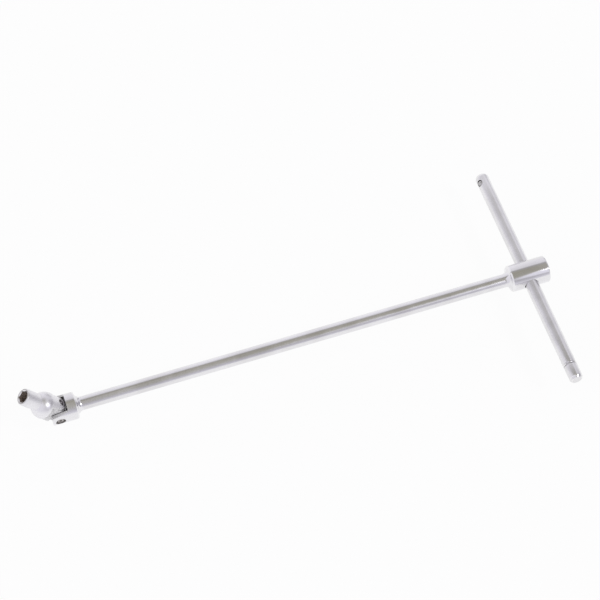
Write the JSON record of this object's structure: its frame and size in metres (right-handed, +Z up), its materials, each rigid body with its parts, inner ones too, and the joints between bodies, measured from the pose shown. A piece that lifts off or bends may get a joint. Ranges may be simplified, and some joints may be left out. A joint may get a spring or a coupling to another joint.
{
  "type": "swivel socket wrench",
  "caption": "T-handle hexagon socket wrench: long round shaft, sliding cross bar in a hub at one end, pinned universal joint and socket at the other.",
  "frame": {"origin": "centre of the hub's flat end face, on the shaft's axis", "axes": "+X runs along the shaft towards the hub end, +Y runs along the sliding bar, +Z is up, the side the socket is bent to"},
  "size_m": [0.3969, 0.187, 0.0387],
  "materials": {
    "satin_chrome": "satin chrome plate over steel",
    "pin_steel": "ground steel with centre-punched ends",
    "machined_steel": "milled and plated steel",
    "hardened_steel": "hardened and polished steel",
    "spring_steel": "drawn spring wire"
  },
  "bodies": {
    "handle": {"hub": "satin_chrome", "shaft": "satin_chrome", "shaft_yoke": "satin_chrome", "main_pin": "pin_steel", "yoke_friction_plunger": "hardened_steel", "yoke_friction_spring": "spring_steel"},
    "joint_block": {"centre_block": "machined_steel"},
    "socket_end": {"socket": "satin_chrome", "cross_pin": "pin_steel", "socket_friction_plunger": "hardened_steel", "socket_friction_spring": "spring_steel"},
    "snap_ring": {"bar_snap_ring": "spring_steel"},
    "sliding_bar": {"t_bar": "satin_chrome", "detent_spring": "spring_steel"},
    "ball": {"detent_ball": "hardened_steel"}
  },
  "joints": [
    {"name": "main_pin_hinge", "type": "hinge", "parent": "handle", "child": "joint_block", "pos_m": [-0.3714, 0, 0], "axis": [0, 1, 0], "range_deg": [-101.5, 1.5]},
    {"name": "cross_pin_hinge", "type": "hinge", "parent": "joint_block", "child": "socket_end", "pos_m": [-0.37455, 0, 0.00375], "axis": [0.766, 0, 0.6428], "range_deg": [-32, 48]},
    {"name": "bar_slide", "type": "slide", "parent": "handle", "child": "snap_ring", "axis": [0, 1, 0], "range_m": [-0.0737, 0.0706]},
    {"name": "bar_spin", "type": "hinge", "parent": "snap_ring", "child": "sliding_bar", "pos_m": [-0.015, 0, 0], "axis": [0, 1, 0], "continuous": true},
    {"name": "ball_press", "type": "slide", "parent": "sliding_bar", "child": "ball", "axis": [0.8387, 0, -0.5446], "range_m": [0, 0.00045], "stiffness_N_per_m": 4000, "springref_m": -0.001}
  ]
}
